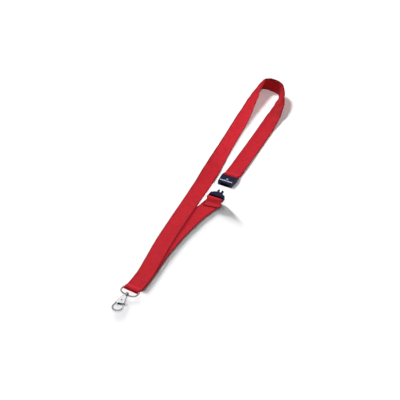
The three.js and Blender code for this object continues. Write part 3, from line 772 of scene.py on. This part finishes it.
def thread_material():
    n = Nodes("thread")
    strands = n.noise(n.object_place(), 4200.0, 3.0, 0.6)
    n.set(Base_Color=n.mix(strands, linear(138, 18, 28), linear(188, 32, 42)),
          Roughness=n.ramp(strands, 0.3, 0.7, 0.6, 0.85), Sheen_Weight=0.08)
    n.bump(strands, 0.5, 0.00008)
    return n.material


PLATING = plating_material()
PIN_STEEL = pin_material()
SPRING_STEEL = spring_material()
MOULDING = moulding_material()
INK = ink_material()
THREAD = thread_material()

# The D-loop, in a frame whose origin is the hub's centre, before its tilt.
WIRE_RADIUS = 1.1
LOOP_HALF_WIDTH = 10.4
LOOP_CORNER = 1.6
LOOP_SIDE = 3.5
LOOP_DEPTH = 9.8
LOOP_BAR_POINTS = 20
LOOP_CORNER_POINTS = 14
LOOP_BOW_POINTS = 60
LOOP_POINTS = 220
WIRE_SIDES = 24
HUB_RADIUS = 2.7
HUB_LENGTH = 3.4
HUB_RIM = 0.5
BORE_RADIUS = 1.6
BORE_FLARE = 0.25
OVERRUN = 1  # how far a cutting solid reaches past what it cuts


def quadratic(a, b, c, count):
    """Points of a quadratic curve from a to c that bends towards b."""
    t = np.linspace(0, 1, count)[:, None]
    a, b, c = (np.array(p, float) for p in (a, b, c))
    return [tuple(p) for p in (1 - t) ** 2 * a + 2 * t * (1 - t) * b + t ** 2 * c]


def loop_line():
    half, corner = LOOP_HALF_WIDTH, LOOP_CORNER
    right = [(x, 0) for x in np.linspace(0, half - corner, LOOP_BAR_POINTS)]
    right += arc(half - corner, -corner, corner, math.pi / 2, 0, LOOP_CORNER_POINTS)
    right += quadratic((half, -LOOP_SIDE), (half, -LOOP_DEPTH), (0, -LOOP_DEPTH), LOOP_BOW_POINTS)
    line = np.array(right + [(-x, y) for x, y in right[::-1]])
    length = np.concatenate([[0], np.cumsum(np.linalg.norm(np.diff(line, axis=0), axis=1))])
    at = np.linspace(0, length[-1], LOOP_POINTS, endpoint=False)
    x, y = np.interp(at, length, line[:, 0]), np.interp(at, length, line[:, 1])
    return np.column_stack([x, y, np.full(len(at), AXIS_HEIGHT)])


def bored(radius, length):
    """The profile of a bore with flared mouths."""
    half, flared = length / 2, radius + BORE_FLARE
    return [(0, -half - OVERRUN), (flared + OVERRUN, -half - OVERRUN), (flared, -half), (radius, -half + BORE_FLARE),
            (radius, half - BORE_FLARE), (flared, half), (flared + OVERRUN, half + OVERRUN), (0, half + OVERRUN)]


hub_centre = (0, HUB_CENTRE_Y, AXIS_HEIGHT)
loop_mesh = combined(
    swept(loop_line(), WIRE_RADIUS, WIRE_SIDES, closed=True),
    ("+", rod(HUB_RADIUS, -HUB_LENGTH / 2, HUB_LENGTH / 2, "y", hub_centre, HUB_RIM)),
    ("-", turned(bored(BORE_RADIUS, HUB_LENGTH), "y", hub_centre)))
loop_mesh.transform(Matrix.Translation((0, -HUB_CENTRE_Y, 0)))
hard_piece("d_loop_ring", loop_mesh, PLATING, "d_loop", ["d_loop"], -LOOP_TILT,
           (HOOK_X, LOOP_BAR_Y + HUB_CENTRE_Y))

# The swivel's post.
POST_RADIUS = 1.2
POST_END_Y = -17
POST_HEAD_RADIUS = 2.2
POST_HEAD_HEIGHT = 1.1
HEAD_BASE_Y = -8.1
DOME_START = 0.35
DOME_POINTS = 8
CHAMFER = 0.1
HOOK_PLACE = (HOOK_X, LOOP_BAR_Y)
dome = [(POST_HEAD_RADIUS * math.cos(a), HEAD_BASE_Y + DOME_START + (POST_HEAD_HEIGHT - DOME_START) * math.sin(a))
        for a in np.linspace(0, math.pi / 2, DOME_POINTS)[:-1]]
post_profile = [(0, POST_END_Y), (POST_RADIUS - CHAMFER, POST_END_Y), (POST_RADIUS, POST_END_Y + CHAMFER),
                (POST_RADIUS, HEAD_BASE_Y), (POST_HEAD_RADIUS - CHAMFER, HEAD_BASE_Y),
                (POST_HEAD_RADIUS, HEAD_BASE_Y + CHAMFER), *dome, (0, HEAD_BASE_Y + POST_HEAD_HEIGHT)]
hard_piece("swivel_rivet", turned(post_profile, "y", (0, 0, AXIS_HEIGHT)), PLATING, "hook",
           ["swivel_post"], 0, HOOK_PLACE)

# The hook.
HEAD_RADIUS = 3.2
HEAD_CENTRE_Y = -15.7
EYE_OUTER_RADIUS = 6.7
EYE_INNER_RADIUS = 4.6
EYE_CENTRE_Y = -31.3
EYE_STRAIGHT = 1.5
EYE_THICKNESS = 3.8
FULL_THICKNESS = 2 * AXIS_HEIGHT
HEAD_END_Y = -26.6
SLOT_HEIGHT = 3.2
SLOT_LEFT = -2.9
SLOT_TOP_Y = -18.3
PIN_RADIUS = 0.85
PIN_LENGTH = 5.4
CLEARANCE = 0.1
JOIN_GAP = 0.3
CLAW_REACH = 12.5
GATE_TOP_Y = -25
GATE_THICKNESS = 2.6
GATE_INNER_X = 2.4
ROOT_RADIUS = 2.3
ROOT_THICKNESS = 1.4
ROOT_LAP = 0.5
TAB_RADIUS = 2
TAB = (6.2, -23.9)
HOOK_RIM = 1.0
GATE_RIM = 0.5
TAB_RIM = 0.4
CASTING_EDGE = 0.12
HEAD_POINTS = 36
EYE_POINTS = 96
EYE_RIGHT = EYE_OUTER_RADIUS + OVERRUN
EYE_HOLE = (arc(0, EYE_CENTRE_Y + EYE_STRAIGHT, EYE_INNER_RADIUS, 0, math.pi, EYE_POINTS // 2)
            + arc(0, EYE_CENTRE_Y, EYE_INNER_RADIUS, math.pi, 2 * math.pi, EYE_POINTS // 2))
pivot = (0, PIN_Y, AXIS_HEIGHT)
pin_bore = rod(PIN_RADIUS + CLEARANCE, -FULL_THICKNESS, FULL_THICKNESS, "z", pivot)


def hook_outline():
    lean = math.asin((EYE_OUTER_RADIUS - HEAD_RADIUS) / (HEAD_CENTRE_Y - EYE_CENTRE_Y))
    return (arc(0, HEAD_CENTRE_Y, HEAD_RADIUS, lean, math.pi - lean, HEAD_POINTS)
            + arc(0, EYE_CENTRE_Y, EYE_OUTER_RADIUS, math.pi - lean, 2 * math.pi + lean, EYE_POINTS))


head = combined(plate(hook_outline(), FULL_THICKNESS, HOOK_RIM),
                ("&", block((-EYE_RIGHT, HEAD_END_Y, -OVERRUN), (EYE_RIGHT, 0, FULL_THICKNESS + OVERRUN))),
                ("-", plate(EYE_HOLE, 2 * FULL_THICKNESS, 0)))
gate_zone = block((GATE_INNER_X - OVERRUN, EYE_CENTRE_Y - EYE_OUTER_RADIUS - OVERRUN, -OVERRUN),
                  (EYE_RIGHT, GATE_TOP_Y, FULL_THICKNESS + OVERRUN))
reach = rod(CLAW_REACH, -FULL_THICKNESS, FULL_THICKNESS, "z", pivot)
bore_top, bore_end = HEAD_CENTRE_Y + HEAD_RADIUS + OVERRUN, POST_END_Y - JOIN_GAP
body = combined(
    plate(hook_outline(), EYE_THICKNESS, HOOK_RIM, [EYE_HOLE]),
    ("+", head),
    ("-", block((SLOT_LEFT, HEAD_END_Y - OVERRUN, AXIS_HEIGHT - SLOT_HEIGHT / 2),
                (EYE_RIGHT, SLOT_TOP_Y, AXIS_HEIGHT + SLOT_HEIGHT / 2))),
    ("-", combined(gate_zone, ("&", reach))),
    ("-", rod(POST_RADIUS + CLEARANCE, bore_end, bore_top, "y", (0, 0, AXIS_HEIGHT))),
    ("-", pin_bore))
hard_piece("hook_casting", softened(body, CASTING_EDGE, HOOK_MERGE), PLATING, "hook", ["hook_body"], 0,
           HOOK_PLACE)

# The trigger.
gate_low, gate_high = AXIS_HEIGHT - GATE_THICKNESS / 2, AXIS_HEIGHT + GATE_THICKNESS / 2
root_low = gate_low + CLEARANCE
root_high = root_low + ROOT_THICKNESS
arm = combined(
    plate(hook_outline(), GATE_THICKNESS, GATE_RIM, [EYE_HOLE]),
    ("&", block((GATE_INNER_X, EYE_CENTRE_Y - EYE_OUTER_RADIUS, 0), (EYE_RIGHT, PIN_Y + OVERRUN, FULL_THICKNESS))),
    ("&", rod(CLAW_REACH - JOIN_GAP, -FULL_THICKNESS, FULL_THICKNESS, "z", pivot)),
    ("+", rod(ROOT_RADIUS, root_low, root_high, "z", (0, PIN_Y, 0))),
    ("+", block((0, PIN_Y - ROOT_RADIUS, root_low), (GATE_INNER_X + ROOT_LAP, PIN_Y + ROOT_RADIUS / 2, root_high))),
    ("+", rod(TAB_RADIUS, gate_low, gate_high, "z", (*TAB, 0), TAB_RIM)),
    ("-", pin_bore))
hard_piece("trigger_lever", softened(arm, CASTING_EDGE), PLATING, "trigger", ["trigger"], 0, HOOK_PLACE)

# The pin, with a dimple at each end, and the spring.
DIMPLE_RADIUS = 0.55
DIMPLE_DEPTH = 0.35
half_pin = PIN_LENGTH / 2
pin_profile = [
    (0, -half_pin + DIMPLE_DEPTH), (DIMPLE_RADIUS, -half_pin), (PIN_RADIUS - CHAMFER, -half_pin),
    (PIN_RADIUS, -half_pin + CHAMFER), (PIN_RADIUS, half_pin - CHAMFER), (PIN_RADIUS - CHAMFER, half_pin),
    (DIMPLE_RADIUS, half_pin), (0, half_pin - DIMPLE_DEPTH)]
hard_piece("pivot_pin", turned(pin_profile, "z", pivot), PIN_STEEL, "hook", ["trigger_pin"], 0,
           HOOK_PLACE)

SPRING_RADIUS = 1.35
SPRING_WIRE = 0.22
SPRING_TURNS = 2
SPRING_RISE = 0.9
SPRING_BASE = 0.45
SPRING_LEG = 1.1
LEG_START = 0.1
LEG_POINTS = 6
COIL_POINTS = 97
SPRING_SIDES = 12
WIRE_ANGLE = 60


def spring_line():
    coil = np.linspace(0, 1, COIL_POINTS)
    angle = math.pi * (0.5 + 2 * SPRING_TURNS * coil)
    line = np.column_stack([SPRING_RADIUS * np.cos(angle), PIN_Y + SPRING_RADIUS * np.sin(angle),
                            AXIS_HEIGHT + SPRING_BASE + SPRING_RISE * coil])
    start = [line[0] + (leg, 0, 0) for leg in np.linspace(SPRING_LEG, LEG_START, LEG_POINTS)]
    end = [line[-1] - (leg, 0, 0) for leg in np.linspace(LEG_START, SPRING_LEG, LEG_POINTS)]
    return np.vstack([start, line, end])


hard_piece("torsion_spring", swept(spring_line(), SPRING_WIRE, SPRING_SIDES), SPRING_STEEL, "hook",
           ["trigger_spring"], 0, HOOK_PLACE, WIRE_ANGLE)

# The release. Its halves are parallel and a little out of line.
BAR_SPAN = 20.8
ARM_WIDTH = 1
EDGE_BEVEL = 0.6
SHELL_CORNER = 0.8
SHOULDER_CORNER = 1.5
SHELL_MOUTH_Y = 4.6
SHELL_LENGTH = 14.6
SHELL_MOUTH_WIDTH = 18.2
SHELL_BACK_WIDTH = 20.8
MOUTH_WIDTH = 10.6
MOUTH_HEIGHT = 3
MOUTH_DEPTH = 10.2
BAR_SETBACK = 3
SHOULDER_FRONT_Y = -16
SHOULDER_ARCH = 3.6
SHOULDER_LENGTH = 4.7
SHOULDER_WIDTH = 18.8
PRONG_LENGTH = 5.3
PRONG_WIDTH = 1.8
PRONG_HEIGHT = 2.4
PRONG_OFFSET = 2.4
PRONG_FLARE = 0.4
PRONG_FLARE_LENGTH = 1.2
PRONG_TIP = 0.6
PRONG_RIM = 0.2
BARB_DEPTH = 0.7
BARB_SLOPE = 0.8
BARB_LENGTH = 3
MOULDING_RIM = 0.7
BAR_RIM = 0.2
ARM_RIM = 0.25
SHELL_EDGE = 0.15
PLUG_EDGE = 0.12
CORNER_POINTS = 8
TIP_POINTS = 6
SHOULDER_POINTS = 16


def bar_on_arms(body_end, bar_y):
    """The steps that add a moulded bar on two arms behind a body's end."""
    outer, inner = BAR_SPAN / 2, BAR_SPAN / 2 - ARM_WIDTH
    away = math.copysign(1, bar_y - body_end)
    low, high = sorted((body_end - away * EDGE_BEVEL, bar_y + away * BAR_RADIUS))
    bottom, over = AXIS_HEIGHT - BAR_RADIUS, AXIS_HEIGHT + BAR_RADIUS
    reach, centre = inner + ARM_WIDTH / 2, (0, bar_y, AXIS_HEIGHT)
    return (("+", rod(BAR_RADIUS, -reach, reach, "x", centre, BAR_RIM)),
            ("+", block((inner, low, bottom), (outer, high, over), ARM_RIM)),
            ("+", block((-outer, low, bottom), (-inner, high, over), ARM_RIM)))


def rounded_outline(corners, radius):
    """An outline with its marked corners rounded. Corners are (x, y, rounded)."""
    outline = []
    for i, (x, y, rounded) in enumerate(corners):
        here = np.array([x, y], float)
        if not rounded:
            outline.append((x, y))
            continue
        before = np.array(corners[i - 1][:2], float) - here
        after = np.array(corners[(i + 1) % len(corners)][:2], float) - here
        start = here + before / np.linalg.norm(before) * radius
        end = here + after / np.linalg.norm(after) * radius
        outline += quadratic(start, here, end, CORNER_POINTS)
    return outline


shell_back = SHELL_MOUTH_Y + SHELL_LENGTH
shell_outline = rounded_outline([
    (-SHELL_MOUTH_WIDTH / 2, SHELL_MOUTH_Y, True), (SHELL_MOUTH_WIDTH / 2, SHELL_MOUTH_Y, True),
    (SHELL_BACK_WIDTH / 2, shell_back, False), (-SHELL_BACK_WIDTH / 2, shell_back, False)], SHELL_CORNER)
shell = combined(
    plate(shell_outline, FULL_THICKNESS, MOULDING_RIM),
    ("-", block((-MOUTH_WIDTH / 2, SHELL_MOUTH_Y - OVERRUN, AXIS_HEIGHT - MOUTH_HEIGHT / 2),
                (MOUTH_WIDTH / 2, SHELL_MOUTH_Y + MOUTH_DEPTH, AXIS_HEIGHT + MOUTH_HEIGHT / 2))),
    *bar_on_arms(shell_back, shell_back + BAR_SETBACK))
hard_piece("release_socket", softened(shell, SHELL_EDGE), MOULDING, "female_half", ["female_half"],
           -RELEASE_HEADING, FEMALE_CENTRE)


def prong(side):
    inner, outer = PRONG_OFFSET - PRONG_WIDTH / 2, PRONG_OFFSET + PRONG_WIDTH / 2
    front = SHOULDER_FRONT_Y + SHOULDER_ARCH
    tip = front + PRONG_LENGTH
    barb = tip - BARB_LENGTH
    corners = [(inner, front - OVERRUN), (outer + PRONG_FLARE, front - OVERRUN), (outer, front + PRONG_FLARE_LENGTH),
               (outer, barb), (outer + BARB_DEPTH, barb + BARB_SLOPE)]
    corners += quadratic((outer, tip - PRONG_TIP), (outer, tip), (inner + PRONG_TIP, tip), TIP_POINTS)
    corners += quadratic((inner + PRONG_TIP, tip), (inner, tip), (inner, tip - PRONG_TIP), TIP_POINTS)[1:]
    return plate([(side * x, y) for x, y in corners], PRONG_HEIGHT, PRONG_RIM)


shoulder_back = SHOULDER_FRONT_Y - SHOULDER_LENGTH
half_shoulder = SHOULDER_WIDTH / 2
arch_start, corner_y = half_shoulder - SHOULDER_CORNER, SHOULDER_FRONT_Y - SHOULDER_CORNER
front_y = SHOULDER_FRONT_Y
shoulder_outline = [(-half_shoulder, shoulder_back), (half_shoulder, shoulder_back)]
for curve in (((half_shoulder, corner_y), (half_shoulder, front_y), (arch_start, front_y)),
              ((arch_start, front_y), (0, front_y + 2 * SHOULDER_ARCH), (-arch_start, front_y)),
              ((-arch_start, front_y), (-half_shoulder, front_y), (-half_shoulder, corner_y))):
    shoulder_outline += quadratic(*curve, SHOULDER_POINTS)[:-1]
shoulder_outline.append((-half_shoulder, corner_y))
plug = combined(plate(shoulder_outline, FULL_THICKNESS, MOULDING_RIM), ("+", prong(1)), ("+", prong(-1)),
                *bar_on_arms(shoulder_back, shoulder_back - BAR_SETBACK))
hard_piece("release_plug", softened(plug, PLUG_EDGE), MOULDING, "strap", ["male_half"],
           -RELEASE_HEADING, MALE_CENTRE)

# A plain printed mark on the shell: a row of short bars with two chevrons over it.
MARK_Y = 8.1
MARK_HEIGHT = 1.5
MARK_RAISE = 0.06
MARK_BARS = (1.3, 0.8, 1.6, 1.0, 1.4, 0.8, 1.5, 1.1, 0.9, 1.1)
MARK_GAP = 0.5
MARK_THICKNESS = 0.2
MARK_RIM = 0.02
CHEVRON_LIFTS = (2.9, 4.0)
CHEVRON_HALF = 1.5
CHEVRON_RISE = 0.9
CHEVRON_WIDTH = 0.5


def raised(outline):
    return plate(outline, MARK_THICKNESS, MARK_RIM, height=FULL_THICKNESS - MARK_THICKNESS / 2 + MARK_RAISE)


def mark():
    x = -(sum(MARK_BARS) + MARK_GAP * (len(MARK_BARS) - 1)) / 2
    meshes = []
    for width in MARK_BARS:
        meshes.append(raised([(x, MARK_Y), (x + width, MARK_Y), (x + width, MARK_Y + MARK_HEIGHT),
                              (x, MARK_Y + MARK_HEIGHT)]))
        x += width + MARK_GAP
    for lift in CHEVRON_LIFTS:
        low, half = MARK_Y + lift, CHEVRON_HALF
        over, top = low + CHEVRON_WIDTH, low + CHEVRON_RISE + CHEVRON_WIDTH
        meshes.append(raised([(-half, low), (0, low + CHEVRON_RISE), (half, low), (half, over), (0, top),
                              (-half, over)]))
    return merged(*meshes)


hard_piece("printed_mark", mark(), INK, "female_half", None, -RELEASE_HEADING, FEMALE_CENTRE)

# Seams: a thread laid in a zigzag on the upper and on the lower face.
SEAM_WIDTH = 16
SEAM_DEPTH = 1.8
SEAM_STITCHES = 16
THREAD_RADIUS = 0.17
THREAD_SIDES = 8
STITCH_STEPS = 8
STITCH_ARCH = 0.12
STITCH_SINK = 0.1
STITCH_FULLNESS = 0.6
LAYERS_TOP = 2.2
LAYERS_BOTTOM = 0.2
RING_SEAM = (-1.5, -152)
SEAM_SETBACK = 10.5
TAIL_SEAM_SHIFT = 1.3


def stitches():
    meshes = []
    for height, outward in ((LAYERS_TOP, 1), (LAYERS_BOTTOM, -1)):
        line = []
        for i in range(SEAM_STITCHES):
            a = np.array([SEAM_WIDTH * (i / SEAM_STITCHES - 0.5), (i % 2 - 0.5) * SEAM_DEPTH])
            b = np.array([SEAM_WIDTH * ((i + 1) / SEAM_STITCHES - 0.5), ((i + 1) % 2 - 0.5) * SEAM_DEPTH])
            for t in np.linspace(0, 1, STITCH_STEPS + 1)[:-1]:
                lift = STITCH_ARCH * math.sin(math.pi * t) ** STITCH_FULLNESS - STITCH_SINK
                line.append((*(a + (b - a) * t), height + outward * lift))
        meshes.append(swept(line, THREAD_RADIUS, THREAD_SIDES))
    return merged(*meshes)


hard_piece("ring_stitches", stitches(), THREAD, "strap", ["ring_seam"], 0, RING_SEAM, WIRE_ANGLE)
hard_piece("tail_stitches", stitches(), THREAD, "strap", ["tail_seam"], TAIL_SKEW - RELEASE_HEADING,
           on_release(MALE_CENTRE, TAIL_SEAM_SHIFT, MALE_BAR_Y - SEAM_SETBACK), WIRE_ANGLE)
hard_piece("end_stitches", stitches(), THREAD, "female_half", ["end_seam"], -RELEASE_HEADING,
           on_release(FEMALE_CENTRE, 0, FEMALE_BAR_Y + SEAM_SETBACK), WIRE_ANGLE)

# Stage. The floor has a front and a back, so that the low light can reach the front alone. The back reaches a
# little way under the front, so that no gap shows between them.
FLOOR_HALF = 12
SPLIT_Y = 35
FLOOR_SPLIT = float(placed((0, SPLIT_Y, 0))[1])
FLOOR_LAP = 0.004
FLOOR_STEP = -2e-5
LAMP_DISTANCE = 2.2
WORLD_LOW = 0.02
WORLD_HIGH = 0.17
WORLD_FULL_HEIGHT = 0.8


def make_floor(name, front, back, level, material):
    corners = [(-FLOOR_HALF, front, level), (FLOOR_HALF, front, level),
               (FLOOR_HALF, back, level), (-FLOOR_HALF, back, level)]
    floor = linked(name, mesh_of(name, corners, [(0, 1, 2, 3)]), material)
    return floor


def floor_material():
    n = Nodes("floor")
    dull, bright = (0.93, 0.93, 0.935, 1), (0.95, 0.95, 0.95, 1)
    n.set(Base_Color=n.mix(n.noise(n.object_place(), 3.0), dull, bright), Roughness=0.9, Specular_IOR_Level=0.0)
    return n.material


def light_group(name, pieces, state="INCLUDE"):
    """The pieces that a light reaches or is blocked by, or all but these pieces."""
    group = bpy.data.collections.new(name)
    for piece in pieces:
        group.objects.link(piece)
    for member in group.collection_objects:
        member.light_linking.link_state = state
    return group


def make_lamp(name, data, direction, receivers, blockers=None):
    """A lamp that shines from a direction, at the world's centre, on its receivers."""
    lamp = bpy.data.objects.new(name, data)
    bpy.context.scene.collection.objects.link(lamp)
    lamp.location = direction * LAMP_DISTANCE
    lamp.rotation_mode = "QUATERNION"
    lamp.rotation_quaternion = direction.to_track_quat("Z", "Y")
    lamp.light_linking.receiver_collection = receivers
    lamp.light_linking.blocker_collection = blockers


def make_sun(name, direction, spread, share, receivers, blockers=None):
    """A far light that gives the floor a share of its brightness, with a spread in degrees."""
    away = Vector(direction).normalized()
    data = bpy.data.lights.new(name, "SUN")
    data.angle = math.radians(spread)
    data.energy = share * math.pi / away.z
    make_lamp(name, data, away, receivers, blockers)


def make_panel(name, direction, size, power, receivers):
    """A round panel, with its diameter in metres and its power in watts."""
    data = bpy.data.lights.new(name, "AREA")
    data.shape = "DISK"
    data.size = size
    data.energy = power
    make_lamp(name, data, Vector(direction).normalized(), receivers)


def make_world():
    """A dim world that brightens from the horizon up."""
    world = bpy.data.worlds.new("studio")
    bpy.context.scene.world = world
    world.use_nodes = True
    tree = world.node_tree
    coordinates = tree.nodes.new("ShaderNodeTexCoord")
    split = tree.nodes.new("ShaderNodeSeparateXYZ")
    height = tree.nodes.new("ShaderNodeMapRange")
    tree.links.new(coordinates.outputs["Generated"], split.inputs["Vector"])
    tree.links.new(split.outputs["Z"], height.inputs["Value"])
    height.inputs["From Max"].default_value = WORLD_FULL_HEIGHT
    height.inputs["To Min"].default_value = WORLD_LOW
    height.inputs["To Max"].default_value = WORLD_HIGH
    tree.links.new(height.outputs["Result"], tree.nodes["Background"].inputs["Strength"])
    tree.nodes["Background"].inputs["Color"].default_value = (1, 1, 1, 1)


pale = floor_material()
floors = [make_floor("floor_front", -FLOOR_HALF, FLOOR_SPLIT, 0, pale),
          make_floor("floor_back", FLOOR_SPLIT - FLOOR_LAP, FLOOR_HALF, FLOOR_STEP, pale)]
make_world()

# The shadow is even and close all along the object, so the floor has lights of its own. Every piece blocks the high
# ones. The lowest strap alone blocks the low one, and with the hook and its loop it blocks the middle one. The even
# one is blocked by nothing but the pin. The plated pieces are lit by the panels and the world alone.
objects = bpy.data.objects
plated = [objects[name] for name in ("d_loop_ring", "swivel_rivet", "hook_casting", "trigger_lever", "pivot_pin")]
whole_floor = light_group("whole floor", floors)
front_floor = light_group("front floor", floors[:1])
back_floor = light_group("back floor", floors[1:])
object_alone = light_group("object alone", floors, "EXCLUDE")
soft_and_moulded = light_group("soft and moulded", [*floors, *plated], "EXCLUDE")
low_strap = light_group("low strap", [release])
strap_and_hook = light_group("strap and hook", [release, *plated])
pin_alone = light_group("pin", [objects["pivot_pin"]])

HIGH = (-0.7, 0.2, 1)
MIDDLE = (-0.6, 0.75, 0.33)
LOW = (-0.844, 0.526, 0.125)
OVERHEAD = (0, 0, 1)
make_sun("high light", HIGH, spread=12, share=0.1, receivers=whole_floor)
make_sun("high back light", HIGH, spread=12, share=0.64, receivers=back_floor)
make_sun("even back light", OVERHEAD, spread=12, share=0.25, receivers=back_floor, blockers=pin_alone)
make_sun("low front light", LOW, spread=7, share=0.66, receivers=front_floor, blockers=low_strap)
make_sun("middle front light", MIDDLE, spread=14, share=0.2, receivers=front_floor, blockers=strap_and_hook)
make_panel("right light", (0.75, 0.3, 0.5), size=0.9, power=50, receivers=soft_and_moulded)
make_panel("left light", (-0.75, 0.3, 0.5), size=0.9, power=34, receivers=soft_and_moulded)
make_panel("panel", (-0.32, 0.68, 0.66), size=1.3, power=4.2, receivers=object_alone)
make_panel("top panel", OVERHEAD, size=1.6, power=5, receivers=object_alone)

bpy.context.scene.view_settings.view_transform = "Standard"
